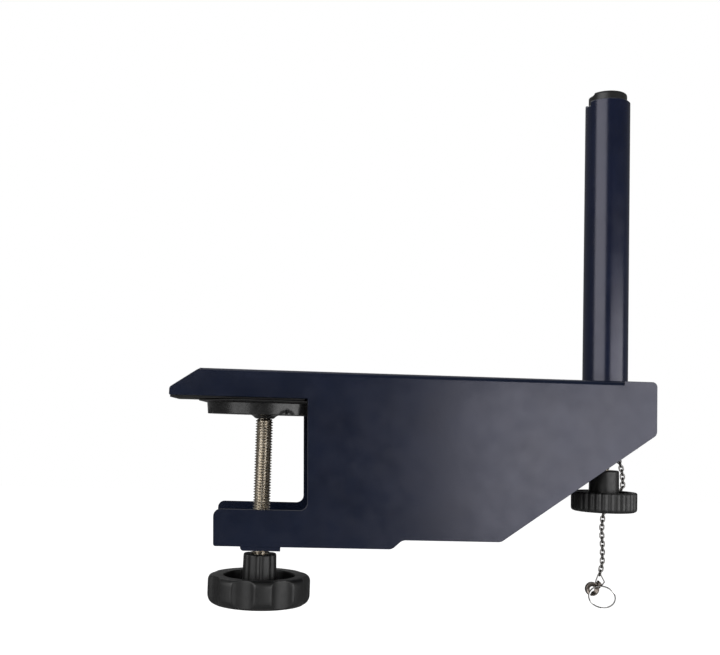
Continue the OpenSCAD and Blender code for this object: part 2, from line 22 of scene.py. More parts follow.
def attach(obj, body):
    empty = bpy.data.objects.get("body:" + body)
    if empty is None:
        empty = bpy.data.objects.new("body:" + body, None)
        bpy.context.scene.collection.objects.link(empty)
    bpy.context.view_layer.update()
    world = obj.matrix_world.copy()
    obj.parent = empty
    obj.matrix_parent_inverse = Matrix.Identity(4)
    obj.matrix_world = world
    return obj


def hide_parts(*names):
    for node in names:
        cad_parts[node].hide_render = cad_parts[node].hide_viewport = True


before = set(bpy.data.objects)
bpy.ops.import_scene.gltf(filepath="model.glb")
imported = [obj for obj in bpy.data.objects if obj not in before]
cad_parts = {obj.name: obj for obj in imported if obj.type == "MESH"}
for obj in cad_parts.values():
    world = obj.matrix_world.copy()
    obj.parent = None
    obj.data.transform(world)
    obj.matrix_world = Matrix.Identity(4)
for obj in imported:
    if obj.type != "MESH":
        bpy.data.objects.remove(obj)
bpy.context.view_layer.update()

log = logging.getLogger("net_clamp")

MM = 0.001
TAU = 2 * math.pi
Colour = tuple[float, float, float]


class Body(Enum):
    """Bodies of the part that a piece can ride on."""

    BRACKET = "bracket"
    DISC = "disc"
    SCREW = "screw"
    POST = "post"
    ADJUSTER = "height_adjuster"
    LINK = "chain_link"
    CHAIN = "chain"
    CLASP = "clasp"
    RING = "ring"


class Grain(Enum):
    """How a metal's fine lines lie."""

    TURNED = (1.0, 1.0, 14.0)
    DRAWN = (3.0, 3.0, 3.0)


# ---- Finishes -------------------------------------------------------------------------------


class Bench:
    """Nodes and links of one material, round a Principled shader."""

    def __init__(self, name: str) -> None:
        """Starts a material with its shader, its output and the object's own coordinates.

        Args:
            name: The material's name.
        """
        self.material = bpy.data.materials.new(name)
        self.material.use_nodes = True
        self.tree = self.material.node_tree
        self.tree.nodes.clear()
        self.shader = self.tree.nodes.new("ShaderNodeBsdfPrincipled")
        output = self.tree.nodes.new("ShaderNodeOutputMaterial")
        self.tree.links.new(self.shader.outputs["BSDF"], output.inputs["Surface"])
        self.place = self.tree.nodes.new("ShaderNodeTexCoord").outputs["Object"]

    def put(self, node: bpy.types.Node, sockets: dict[str, object]) -> None:
        """Sets or links the named sockets of a node.

        Args:
            node: The node that is filled in.
            sockets: For each input's name, a value or the output that feeds it.
        """
        for name, value in sockets.items():
            if isinstance(value, bpy.types.NodeSocket):
                self.tree.links.new(value, node.inputs[name])
            else:
                node.inputs[name].default_value = value

    def noise(
        self, size: float, detail: float = 2.0, stretch: Sequence[float] = (1.0, 1.0, 1.0)
    ) -> bpy.types.NodeSocket:
        """Adds a noise whose features have the given size.

        Args:
            size: Size of a feature in millimetres.
            detail: Number of finer layers.
            stretch: How many times finer the noise is along each axis.

        Returns:
            The noise's factor, from 0 to 1.
        """
        mapping = self.tree.nodes.new("ShaderNodeMapping")
        self.put(mapping, {"Vector": self.place, "Scale": stretch})
        node = self.tree.nodes.new("ShaderNodeTexNoise")
        vector = mapping.outputs["Vector"]
        self.put(node, {"Vector": vector, "Scale": 1 / (size * MM), "Detail": detail})
        return node.outputs["Fac"]

    def span(self, source: bpy.types.NodeSocket, low: float, high: float) -> bpy.types.NodeSocket:
        """Spreads the middle of a noise, 0.3 to 0.7, over the range from low to high."""
        node = self.tree.nodes.new("ShaderNodeMapRange")
        self.put(node, {"Value": source, "From Min": 0.3, "From Max": 0.7, "To Min": low, "To Max": high})
        return node.outputs["Result"]

    def blend(self, source: bpy.types.NodeSocket, first: Colour, last: Colour) -> bpy.types.NodeSocket:
        """Goes from one colour to the other with the source.

        Args:
            source: A factor from 0 to 1.
            first: Colour where the factor is 0.
            last: Colour where the factor is 1.

        Returns:
            The blended colour.
        """
        node = self.tree.nodes.new("ShaderNodeMix")
        node.data_type = "RGBA"
        self.tree.links.new(source, node.inputs[0])
        node.inputs[6].default_value = (*first, 1)
        node.inputs[7].default_value = (*last, 1)
        return node.outputs[2]

    def bump(
        self, height: bpy.types.NodeSocket, depth: float, below: bpy.types.NodeSocket | None = None
    ) -> bpy.types.NodeSocket:
        """Turns a height into a normal.

        Args:
            height: The height's factor, from 0 to 1.
            depth: Depth in millimetres between the factors 0 and 1.
            below: Normal that this one is laid on.

        Returns:
            The bent normal.
        """
        node = self.tree.nodes.new("ShaderNodeBump")
        self.put(node, {"Height": height, "Distance": depth * MM, "Strength": 1.0})
        if below is not None:
            self.put(node, {"Normal": below})
        return node.outputs["Normal"]


def scaled(colour: Colour, factor: float) -> Colour:
    """Gives the colour made lighter or darker by a factor."""
    return tuple(channel * factor for channel in colour)


@dataclass(frozen=True)
class Finish:
    """A finish for one of the part's material slots."""

    name: str
    slot: str
    colour: Colour
    roughness: float

    def material(self) -> bpy.types.Material:
        """Gives the finish's material, which is made once."""
        made = bpy.data.materials.get(self.name)
        if made is None:
            bench = Bench(self.name)
            self.lay(bench)
            made = bench.material
        return made

    def lay(self, bench: Bench) -> None:
        """Builds the finish's nodes on the bench."""
        raise NotImplementedError


@dataclass(frozen=True)
class PowderCoat(Finish):
    """Baked powder paint: a fine orange peel, and a colour that varies a little."""

    peel: float = 0.9
    peel_depth: float = 0.012

    def lay(self, bench: Bench) -> None:
        """Builds the paint: colour from a broad and a fine noise, roughness and peel from others."""
        tone = bench.span(bench.noise(18.0, 4.0), 0.0, 1.0)
        colour = bench.blend(tone, scaled(self.colour, 0.86), scaled(self.colour, 1.16))
        rough = bench.span(bench.noise(7.0, 3.0), self.roughness - 0.03, self.roughness + 0.04)
        peel = bench.bump(bench.noise(self.peel, 1.0), self.peel_depth)
        grit = bench.bump(bench.noise(self.peel / 4, 2.0), self.peel_depth / 5, peel)
        bench.put(
            bench.shader,
            {
                "Base Color": colour,
                "Roughness": rough,
                "Normal": grit,
                "Specular IOR Level": 0.56,
                "Specular Tint": (0.90, 0.88, 1.0, 1.0),
            },
        )


@dataclass(frozen=True)
class Plated(Finish):
    """Plated metal: fine lines, clouded roughness and a slightly stained colour."""

    grain: Grain = Grain.TURNED
    line_depth: float = 0.004

    def lay(self, bench: Bench) -> None:
        """Builds the plate: stained colour, clouded roughness and the grain's fine lines."""
        stain = bench.span(bench.noise(3.0, 5.0), 0.0, 1.0)
        colour = bench.blend(stain, scaled(self.colour, 0.72), self.colour)
        rough = bench.span(bench.noise(1.2, 4.0), self.roughness - 0.07, self.roughness + 0.09)
        lines = bench.bump(bench.noise(1.6, 3.0, self.grain.value), self.line_depth)
        sockets = {"Base Color": colour, "Roughness": rough, "Normal": lines, "Metallic": 1.0}
        bench.put(bench.shader, sockets)


@dataclass(frozen=True)
class Moulded(Finish):
    """Moulded plastic or rubber: an eroded texture from the mould, with rubbed lighter spots."""

    texture: float = 0.35
    texture_depth: float = 0.03

    def lay(self, bench: Bench) -> None:
        """Builds the plastic: mottled colour, mottled roughness and the mould's texture."""
        mottle = bench.span(bench.noise(5.0, 6.0), 0.0, 1.0)
        colour = bench.blend(mottle, scaled(self.colour, 0.82), scaled(self.colour, 1.22))
        rough = bench.span(bench.noise(2.2, 4.0), self.roughness - 0.06, self.roughness + 0.06)
        flow = bench.bump(bench.noise(6.0, 2.0), self.texture_depth * 1.5)
        grain = bench.bump(bench.noise(self.texture, 3.0), self.texture_depth, flow)
        bench.put(bench.shader, {"Base Color": colour, "Roughness": rough, "Normal": grain})


NAVY_PAINT = PowderCoat("navy_powder_coat", "navy_paint", (0.0050, 0.0090, 0.0230), 0.23)
POST_PAINT = PowderCoat("gloss_navy_enamel", "gloss_navy_paint", (0.0045, 0.0080, 0.0250), 0.23, 2.2, 0.004)
STEEL = Plated("nickel_steel", "bright_steel", (0.66, 0.60, 0.51), 0.28, Grain.TURNED, 0.002)
KNOB_PLASTIC = Moulded("moulded_knob", "knob_plastic", (0.0085, 0.0085, 0.0087), 0.42, 0.35, 0.010)
DISC_PLASTIC = Moulded("moulded_disc", "disc_plastic", (0.0120, 0.0120, 0.0121), 0.24, 0.8, 0.004)
LIP_RUBBER = Moulded("smooth_rubber", "rubber", (0.0120, 0.0120, 0.0121), 0.32, 0.8, 0.004)
CAP_PLASTIC = Moulded("moulded_cap", "cap_plastic", (0.0140, 0.0140, 0.0142), 0.36, 0.9, 0.006)
RUBBER = Moulded("black_rubber", "rubber", (0.0060, 0.0060, 0.0061), 0.62, 0.5, 0.008)
# The chain's links and its split ring are the same chain metal: the links' nickel is darkened to paint
# their shade, and the ring's is lightened to paint its highlights.
CHAIN_PLATE_SHADED = Plated("chain_nickel_painted_shade", "chain_metal", (0.25, 0.24, 0.23), 0.30, Grain.DRAWN, 0.003)
RING_PLATE_LIT = Plated("ring_nickel_painted_highlight", "chain_metal", (0.80, 0.79, 0.77), 0.16, Grain.DRAWN, 0.002)
DARK_PLATE = Plated("smoked_nickel", "dark_nickel", (0.20, 0.175, 0.155), 0.28, Grain.DRAWN, 0.003)


# ---- Meshes ---------------------------------------------------------------------------------


def grid_faces(rows: int, cols: int, wrap_rows: bool, wrap_cols: bool) -> np.ndarray:
    """Quads of a grid: the point (i, j) joins (i + 1, j), (i + 1, j + 1) and (i, j + 1).

    Args:
        rows: Number of rows of points.
        cols: Number of columns of points.
        wrap_rows: Whether the last row joins the first.
        wrap_cols: Whether the last column joins the first.

    Returns:
        Point numbers of each quad, four in a row.
    """
    i = np.arange(rows if wrap_rows else rows - 1)[:, None]
    j = np.arange(cols if wrap_cols else cols - 1)[None, :]
    i_next, j_next = (i + 1) % rows, (j + 1) % cols
    corners = [i * cols + j, i_next * cols + j, i_next * cols + j_next, i * cols + j_next]
    return np.stack([np.broadcast_to(c, (i.size, j.size)) for c in corners], axis=-1).reshape(-1, 4)


@dataclass
class Skin:
    """Grids of points, in millimetres, that become one mesh."""

    points: list[np.ndarray] = field(default_factory=list)
    faces: list[np.ndarray] = field(default_factory=list)

    def add(self, grid: np.ndarray, wrap_rows: bool = False, wrap_cols: bool = True) -> Skin:
        """Adds one grid.

        Args:
            grid: Points in rows and columns, three numbers each.
            wrap_rows: Whether the last row joins the first.
            wrap_cols: Whether the last column joins the first.

        Returns:
            The skin itself, so that calls can be chained.
        """
        start = sum(len(p) for p in self.points)
        rows, cols = grid.shape[:2]
        self.points.append(grid.reshape(-1, 3))
        self.faces.append(grid_faces(rows, cols, wrap_rows, wrap_cols) + start)
        return self

    def piece(self, name: str) -> bpy.types.Object:
        """Makes the mesh, joins points that coincide and turns its faces outwards.

        Args:
            name: Name of the piece.

        Returns:
            The new object, at the origin.
        """
        mesh = bpy.data.meshes.new(name)
        points = np.concatenate(self.points) * MM
        mesh.from_pydata(points.tolist(), [], np.concatenate(self.faces).tolist())
        work = bmesh.new()
        work.from_mesh(mesh)
        bmesh.ops.remove_doubles(work, verts=work.verts, dist=2e-7)
        bmesh.ops.recalc_face_normals(work, faces=work.faces)
        work.to_mesh(mesh)
        work.free()
        made = bpy.data.objects.new(name, mesh)
        bpy.context.scene.collection.objects.link(made)
        return made


def rounded(corners: Sequence[Sequence[float]], steps: int = 5, closed: bool = False) -> np.ndarray:
    """Outline through corners, each cut by a parabola that starts and ends its reach from the corner.

    Args:
        corners: For each corner its place, of two or three numbers, and then the reach of its rounding.
        steps: Points along each rounding.
        closed: Whether the last corner joins the first.

    Returns:
        The outline's points.
    """
    data = np.asarray(corners, float)
    at, reach = data[:, :-1], data[:, -1:]
    before, after = np.roll(at, 1, axis=0), np.roll(at, -1, axis=0)
    ahead, behind = after - at, before - at
    if not closed:
        ahead[-1], behind[0] = 0, 0
    lead = ahead / np.maximum(np.linalg.norm(ahead, axis=1, keepdims=True), 1e-9)
    trail = behind / np.maximum(np.linalg.norm(behind, axis=1, keepdims=True), 1e-9)
    t = np.linspace(0, 1, steps)[None, :, None]
    offset = (1 - t) ** 2 * (trail * reach)[:, None, :] + t**2 * (lead * reach)[:, None, :]
    return (at[:, None, :] + offset).reshape(-1, at.shape[1])


def lathe(
    profile: np.ndarray,
    axis: Sequence[float],
    steps: int = 128,
    shape: Callable[[np.ndarray, np.ndarray, np.ndarray], np.ndarray] | None = None,
) -> np.ndarray:
    """Turns a profile about an upright axis: (x, y) = axis + r * (cos a, sin a), z as it is.

    Args:
        profile: Radius and height of each point.
        axis: Place of the axis in X and Y.
        steps: Columns round the axis.
        shape: Gives the radius at each point from its radius, height and angle.

    Returns:
        Grid of points, one row for each point of the profile.
    """
    angle = np.linspace(0, TAU, steps, endpoint=False)[None, :]
    radius, height = profile[:, :1] + 0 * angle, profile[:, 1:] + 0 * angle
    angle = angle + 0 * radius
    if shape is not None:
        radius = shape(radius, height, angle)
    x, y = axis[0] + radius * np.cos(angle), axis[1] + radius * np.sin(angle)
    return np.stack([x, y, height], axis=-1)


def tube(
    path: np.ndarray,
    radius: float,
    across: Sequence[float],
    sides: int = 12,
    closed: bool = False,
    flat: float = 1.0,
) -> np.ndarray:
    """Carries a round section along a path: point + radius * (cos a * side + flat * sin a * up).

    Args:
        path: Points of the middle line.
        radius: Radius of the section.
        across: Direction that no stretch of the path follows; up lies nearest to it.
        sides: Points round the section.
        closed: Whether the path is a loop.
        flat: Height of the section as a share of its width.

    Returns:
        Grid of points, a row for each section; an open tube gets a rounded cap at each end.
    """
    if closed:
        along = np.roll(path, -1, axis=0) - np.roll(path, 1, axis=0)
    else:
        along = np.gradient(path, axis=0)
    along /= np.linalg.norm(along, axis=1, keepdims=True)
    size = np.full(len(path), radius)
    if not closed:
        ends = radius * np.array([[-0.5], [-0.42], [-0.25]])
        path = np.concatenate([path[:1] + ends * along[:1], path, path[-1:] - ends[::-1] * along[-1:]])
        along = np.concatenate([along[:1].repeat(3, 0), along, along[-1:].repeat(3, 0)])
        caps = radius * np.array([0.0, 0.55, 0.87])
        size = np.concatenate([caps, size, caps[::-1]])
    side = np.cross(along, np.asarray(across, float))
    side /= np.linalg.norm(side, axis=1, keepdims=True)
    up = np.cross(side, along)
    turn = np.linspace(0, TAU, sides, endpoint=False)[None, :, None]
    ring = np.cos(turn) * side[:, None, :] + flat * np.sin(turn) * up[:, None, :]
    return path[:, None, :] + size[:, None, None] * ring


@dataclass(frozen=True)
class Thread:
    """A right-handed screw thread on an upright rod that is chamfered above a height."""

    radius: float
    pitch: float
    depth: float
    chamfer_low: float

    def cut(self, radius: np.ndarray, height: np.ndarray, angle: np.ndarray) -> np.ndarray:
        """Cuts thread and chamfer where the rod has its full radius.

        The phase is height / pitch - angle / turn, without its whole part. The radius is the full one
        on the crest, a quarter of each pitch wide, and falls along straight flanks to a narrow root.

        Args:
            radius: Radius of each point.
            height: Height of each point.
            angle: Angle of each point.

        Returns:
            The radius at each point after the cut.
        """
        phase = (height / self.pitch - angle / TAU) % 1.0
        flank = np.clip((1 - np.abs(2 * phase - 1)) * 1.5 - 0.22, 0.0, 1.0)
        chamfered = self.radius - np.clip(height - self.chamfer_low, 0, 1)
        cut = np.minimum(self.radius - self.depth * flank, chamfered)
        return np.where(radius > self.radius - 0.01, cut, radius)


def copied(node: str, edge: float, segments: int = 2) -> bpy.types.Object:
    """Copies a solid of the part, joins its loose triangles into flat faces and rounds its edges.

    Args:
        node: Name of the solid.
        edge: Width of the rounding of its sharp edges, in millimetres.
        segments: Strips across each rounding.

    Returns:
        The new object, at the origin.
    """
    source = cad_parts[node].data
    work = bmesh.new()
    work.from_mesh(source)
    bmesh.ops.remove_doubles(work, verts=work.verts, dist=2e-6)
    limit = math.radians(0.6)
    bmesh.ops.dissolve_limit(work, angle_limit=limit, verts=work.verts, edges=work.edges)
    mesh = bpy.data.meshes.new(node + "_skin")
    work.to_mesh(mesh)
    work.free()
    made = bpy.data.objects.new(node + "_skin", mesh)
    bpy.context.scene.collection.objects.link(made)
    if edge > 0:
        bevel = made.modifiers.new("edges", "BEVEL")
        bevel.width = edge * MM
        bevel.segments = segments
        bevel.limit_method = "ANGLE"
        bevel.angle_limit = math.radians(32)
        bevel.use_clamp_overlap = False
        bevel.harden_normals = True
    return made


def dress(
    piece: bpy.types.Object, finish: Finish, body: Body, *nodes: str, sharp: float = 34.0
) -> bpy.types.Object:
    """Gives a piece its finish and its body, and hides the solids that it stands for.

    Args:
        piece: The piece.
        finish: Its finish.
        body: Body that it moves with.
        nodes: Solids of the part that it replaces.
        sharp: Angle in degrees past which an edge stays sharp.

    Returns:
        The piece.
    """
    piece.data.materials.clear()
    piece.data.materials.append(finish.material())
    piece.data.shade_smooth()
    piece.data.set_sharp_from_angle(angle=math.radians(sharp))
    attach(piece, body.value)
    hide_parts(*nodes)
    log.info("%s: %d faces, rides on %s", piece.name, len(piece.data.polygons), body.value)
    return piece


# ---- Studio ---------------------------------------------------------------------------------


@dataclass
class StudioCamera:
    """The camera: its place in metres, the directions of its three axes, and its lens."""

    place: Sequence[float] = (-0.01814, -0.45246, -0.00960)
    right: Sequence[float] = (0.99678, -0.07496, 0.02842)
    up: Sequence[float] = (-0.03326, -0.0641, 0.99739)
    back: Sequence[float] = (-0.07295, -0.99512, -0.06639)
    lens: float = 48.75
    shift: Sequence[float] = (0.02899, 0.0434)

    def build(self) -> None:
        """Makes the camera and puts it to use."""
        data = bpy.data.cameras.new("studio_camera")
        data.lens = self.lens
        data.sensor_width = 36.0
        data.sensor_fit = "HORIZONTAL"
        data.shift_x, data.shift_y = self.shift
        data.clip_start, data.clip_end = 0.02, 20.0
        camera = bpy.data.objects.new("studio_camera", data)
        bpy.context.scene.collection.objects.link(camera)
        turned = Matrix((self.right, self.up, self.back)).transposed().to_4x4()
        camera.matrix_world = Matrix.Translation(self.place) @ turned
        bpy.context.scene.camera = camera
        log.info("camera at %s", self.place)


@dataclass
class Softbox:
    """A soft rectangular light, with its size and places in metres."""

    name: str
    place: Sequence[float]
    size: tuple[float, float]
    brightness: float
    aim: Sequence[float] = (0.05, 0.0, 0.0)

    def build(self) -> None:
        """Makes the light. Its power is brightness * area * pi, so its face has that brightness."""
        data = bpy.data.lights.new(self.name, "AREA")
        data.shape = "RECTANGLE"
        data.size, data.size_y = self.size
        data.energy = self.brightness * self.size[0] * self.size[1] * math.pi
        light = bpy.data.objects.new(self.name, data)
        light.visible_camera = False
        bpy.context.scene.collection.objects.link(light)
        toward = Vector(self.aim) - Vector(self.place)
        turned = toward.to_track_quat("-Z", "Y").to_matrix().to_4x4()
        light.matrix_world = Matrix.Translation(self.place) @ turned


@dataclass
class Studio:
    """A white room: pale floor, pale surroundings and soft lights."""

    floor_z: float = -0.26
    floor_half: float = 3.0
    floor_glow: float = 1.0
    front_shade: float = 0.10
    back_shade: float = 0.18
    lights: tuple[Softbox, ...] = (
        Softbox("right_softbox", (0.592, -0.5375, -0.028), (0.995, 0.344), 3.3, (0.2435, -0.179, -0.028)),
        Softbox("left_softbox", (-0.725, -0.78, 0.38), (1.243, 0.84), 2.8, (-0.2985, -0.5185, 0.38)),
        Softbox("low_softbox", (-0.679, -0.535, -0.165), (0.62, 0.10), 2.6, (-0.0187, 0.0, -0.165)),
        Softbox("top_softbox", (0.0, 0.2, 1.3), (1.2, 1.0), 0.6),
        Softbox("back_softbox", (0.1, 0.9, 0.8), (0.9, 0.5), 1.0),
    )

    def floor(self) -> None:
        """Makes the floor: a flat grid whose paint is pale and faintly aglow."""
        side = np.linspace(-self.floor_half, self.floor_half, 9) / MM
        x, y = np.meshgrid(side, side, indexing="ij")
        grid = np.stack([x, y, np.full_like(x, self.floor_z / MM)], axis=-1)
        made = Skin().add(grid, wrap_cols=False).piece("floor")
        bench = Bench("pale_floor")
        tone = bench.blend(bench.noise(60.0, 3.0), (0.40, 0.40, 0.40), (0.44, 0.44, 0.44))
        seen = bench.tree.nodes.new("ShaderNodeMath")
        seen.operation = "MULTIPLY"
        path = bench.tree.nodes.new("ShaderNodeLightPath")
        bench.tree.links.new(path.outputs["Is Camera Ray"], seen.inputs[0])
        seen.inputs[1].default_value = self.floor_glow
        glow = {"Emission Color": (1, 1, 1, 1), "Emission Strength": seen.outputs[0]}
        bench.put(bench.shader, {"Base Color": tone, "Roughness": 0.9, **glow})
        made.data.materials.append(bench.material)

    def surroundings(self) -> None:
        """Makes the room: white where the camera sees it, and as a light dim, a little less so behind."""
        world = bpy.data.worlds.new("white_room")
        world.use_nodes = True
        bpy.context.scene.world = world
        tree = world.node_tree
        tree.nodes.clear()
        new, link = tree.nodes.new, tree.links.new
        output, mix = new("ShaderNodeOutputWorld"), new("ShaderNodeMixShader")
        seen, lit = new("ShaderNodeBackground"), new("ShaderNodeBackground")
        way, split, depth = (
            new("ShaderNodeTexCoord"),
            new("ShaderNodeSeparateXYZ"),
            new("ShaderNodeMapRange"),
        )
        depth.inputs["From Min"].default_value = -0.6
        depth.inputs["From Max"].default_value = 0.6
        depth.inputs["To Min"].default_value = self.front_shade
        depth.inputs["To Max"].default_value = self.back_shade
        link(way.outputs["Generated"], split.inputs[0])
        link(split.outputs["Y"], depth.inputs["Value"])
        link(depth.outputs["Result"], lit.inputs["Strength"])
        for background in (seen, lit):
            background.inputs["Color"].default_value = (1, 1, 1, 1)
        link(new("ShaderNodeLightPath").outputs["Is Camera Ray"], mix.inputs[0])
        link(lit.outputs[0], mix.inputs[1])
        link(seen.outputs[0], mix.inputs[2])
        link(mix.outputs[0], output.inputs["Surface"])

    def build(self) -> None:
        """Makes floor, room and lights, and shows colours as they are."""
        self.floor()
        self.surroundings()
        for light in self.lights:
            light.build()
        bpy.context.scene.view_settings.view_transform = "Standard"
        bpy.context.scene.view_settings.look = "None"
        log.info("studio with %d lights", len(self.lights))


# ---- Bracket --------------------------------------------------------------------------------


@dataclass
class Bracket:
    """The bent sheet-steel bracket with its jaw, its bridge and the plates inside it."""

    sheet_edge: float = 0.15
    plate_edge: float = 0.2
    pad_edge: float = 0.35
    nut_edge: float = 0.3
    painted: tuple[str, ...] = (
        "jaw_plate",
        "post_sleeve",
        "upper_guide_plate",
        "lower_guide_plate",
        "screw_plate",
    )

    def build(self) -> None:
        """Dresses the bracket's solids: sheet, bridge and plates in paint, pad in rubber, nut in steel."""
        for node in ("clamp_frame", "nut_bridge"):
            dress(copied(node, self.sheet_edge), NAVY_PAINT, Body.BRACKET, node)
        for node in self.painted:
            dress(copied(node, self.plate_edge), NAVY_PAINT, Body.BRACKET, node)
        dress(copied("jaw_pad", self.pad_edge, 3), RUBBER, Body.BRACKET, "jaw_pad")
        dress(copied("clamp_nut", self.nut_edge), STEEL, Body.BRACKET, "clamp_nut")


# ---- Clamp screw, disc and knob ---------------------------------------------------------------


@dataclass
class ClampScrew:
    """The thumb screw with its knob, and the pressure disc that it carries."""

    x: float = -18.7
    radius: float = 4.0
    pitch: float = 1.25
    depth: float = 0.72
    neck_r: float = 2.75
    neck_top: float = -3.5
    neck_low: float = -8.4
    head_low: float = -90.7
    head_top: float = -86.2
    head_af: float = 13.0
    knob_r: float = 23.3
    knob_low: float = -92.2
    rim_top: float = -79.0
    hollow_r: float = 16.25
    hollow_depth: float = 7.0
    hub_r: float = 7.7
    hub_taper: float = 0.4
    hub_top: float = -69.7
    lobes: int = 8
    lobe_turn: float = 4.6
    scallop_r: float = 9.0
    scallop_depth: float = 2.3
    hub_groove: float = 0.8
    plug_r: float = 8.5
    knob_fit: float = 0.12
    disc_r: float = 26.5
    disc_low_r: float = 26.0
    disc_top: float = -1.6
    disc_low: float = -6.6
    boss_low: float = -8.3
    boss_r: float = 4.6
    boss_flare: float = 1.5
    marks: int = 4
    mark_place: float = -68.2
    mark_half: float = 2.75
    mark_h: float = 1.45
    mark_depth: float = 0.35
    pin_r: float = 0.6
    clip_r: float = 5.5
    clip_floor: float = -5.2

    @property
    def axis(self) -> tuple[float, float]:
        """Place of the screw's axis in X and Y."""
        return self.x, 0.0

    def screw(self) -> None:
        """Makes the screw: neck, threaded shank with chamfered ends, and hexagon head."""
        rows = int((self.neck_low - self.head_top) / self.pitch * 10)
        height = np.linspace(self.neck_low, self.head_top, rows)
        shank = np.stack([np.full(rows, self.radius), height], axis=-1)
        neck = [
            (0.0, self.neck_top),
            (self.neck_r - 0.4, self.neck_top),
            (self.neck_r, self.neck_top - 0.4),
            (self.neck_r, self.neck_low),
        ]
        profile = np.concatenate([neck, shank, [(0.0, self.head_top)]])
        thread = Thread(self.radius, self.pitch, self.depth, self.neck_low - 0.8)
        skin = Skin().add(lathe(profile, self.axis, 56, thread.cut))
        flat_r = self.head_af / 2 / math.cos(math.pi / 6)
        corners = [
            (0.0, self.head_top, 0.0),
            (flat_r - 0.6, self.head_top, 0.3),
            (flat_r, self.head_top - 0.6, 0.3),
            (flat_r, self.head_low, 0.0),
            (0.0, self.head_low, 0.0),
        ]
        skin.add(lathe(rounded(corners), self.axis, 6))
        dress(skin.piece("clamp_screw_thread"), STEEL, Body.SCREW, "clamp_screw")

    def knob(self) -> None:
        """Makes the knob: a turned body with scalloped rim, rounded shoulders and a fluted hub."""
        recess_r = self.plug_r + self.knob_fit
        floor = self.rim_top - self.hollow_depth
        bore_r = self.radius + self.knob_fit
        corners = [
            (0.0, self.head_low + 0.05, 0.0),
            (recess_r, self.head_low + 0.05, 0.0),
            (recess_r, self.knob_low, 0.25),
            (self.knob_r, self.knob_low, 4.6),
            (self.knob_r, self.rim_top, 3.0),
            (self.hollow_r, self.rim_top - 0.3, 0.7),
            (self.hollow_r, floor, 0.9),
            (self.hub_r + self.hub_taper, floor, 0.9),
            (self.hub_r, self.hub_top, 0.9),
            (bore_r, self.hub_top, 0.3),
            (bore_r, self.hub_top - 3.0, 0.0),
            (0.0, self.hub_top - 3.0, 0.0),
        ]
        profile = densified(rounded(corners, 9), 1.4)

        def shape(radius: np.ndarray, height: np.ndarray, angle: np.ndarray) -> np.ndarray:
            """Cuts the scallops into the rim and the flutes into the hub.

            A scallop is a cylinder of its own radius whose axis stands outside the rim: its near side
            lies at d * cos(b) - sqrt(r * r - (d * sin(b)) ** 2) for an angle b from its middle. The
            rim takes the soft minimum of its radius and the scallop's.
            """
            step = TAU / self.lobes
            b = (angle - math.radians(self.lobe_turn)) % step - step / 2
            away = self.knob_r - self.scallop_depth + self.scallop_r
            inside = self.scallop_r**2 - (away * np.sin(b)) ** 2
            near = np.where(inside > 0, away * np.cos(b) - np.sqrt(np.maximum(inside, 0)), 99.0)
            soft = 0.18
            rim = -soft * np.logaddexp(-radius / soft, -near / soft)
            crease = (1 - np.abs(np.sin(self.lobes * angle / 2))) ** 2
            hub_row = (radius > bore_r + 0.3) & (radius < self.hub_r + 1.2) & (height > floor + 0.2)
            hub = radius - self.hub_groove * crease
            return np.where(radius > self.hollow_r + 0.5, rim, np.where(hub_row, hub, radius))

        skin = Skin().add(lathe(profile, self.axis, 320, shape))
        dress(skin.piece("clamp_knob_grip"), KNOB_PLASTIC, Body.SCREW, "clamp_knob", sharp=50.0)
        corners = [
            (0.0, self.head_low + 0.02, 0.0),
            (self.plug_r, self.head_low + 0.02, 0.0),
            (self.plug_r, self.knob_low - 0.02, 0.5),
            (self.plug_r - 1.6, self.knob_low - 0.02, 0.3),
            (self.plug_r - 2.2, self.knob_low + 0.35, 0.3),
            (0.0, self.knob_low + 0.25, 0.0),
        ]
        skin = Skin().add(lathe(rounded(corners), self.axis, 96))
        dress(skin.piece("knob_cover"), KNOB_PLASTIC, Body.SCREW, "knob_plug")

    def disc(self) -> None:
        """Makes the disc: a turned plate with a boss, a bore, the clip's recess and marks on its side."""
        bore = self.neck_r + 0.05
        corners = [
            (bore, self.boss_low, 0.1),
            (self.boss_r - 0.5, self.boss_low, 0.4),
            (self.boss_r + self.boss_flare, self.disc_low, 1.0),
            (self.disc_low_r, self.disc_low, 0.3),
            (self.disc_r, self.disc_top, 0.0),
            (self.clip_r, self.disc_top, 0.0),
            (self.clip_r, self.clip_floor, 0.0),
            (bore, self.clip_floor, 0.0),
        ]
        profile = densified(rounded(corners, 5, True), 0.5, True)

        def mark(radius: np.ndarray, height: np.ndarray, angle: np.ndarray) -> np.ndarray:
            """Sinks arched marks into the side, above its lower edge.

            A mark's depth is the full one inside the arch (y / half width) ** 2 + (z / height) ** 2 < 1
            and fades out over the next third; a pin's print at the arch's top is twice as deep.
            """
            step = TAU / self.marks
            b = (angle - math.radians(self.mark_place) + step / 2) % step - step / 2
            y, z = self.disc_r * b, height - self.disc_low
            arch = np.hypot(y / self.mark_half, z / self.mark_h)
            pin = np.hypot(y, z - self.mark_h) / self.pin_r
            fade = np.clip((1.33 - arch) / 0.33, 0, 1) + 2 * np.clip(1.6 - pin, 0, 1)
            side = np.clip((radius - self.disc_low_r + 0.4) / 0.3, 0, 1)
            return radius - self.mark_depth * fade * side

        skin = Skin().add(lathe(profile, self.axis, 384, mark), True)
        dress(skin.piece("pressure_plate"), DISC_PLASTIC, Body.DISC, "pressure_disc")
        dress(copied("disc_lip", 0.12), LIP_RUBBER, Body.DISC, "disc_lip")

    def build(self) -> None:
        """Makes the screw, its knob, the disc and the clip that joins them."""
        self.screw()
        self.knob()
        self.disc()
        dress(copied("swivel_clip", 0.12), STEEL, Body.SCREW, "swivel_clip")


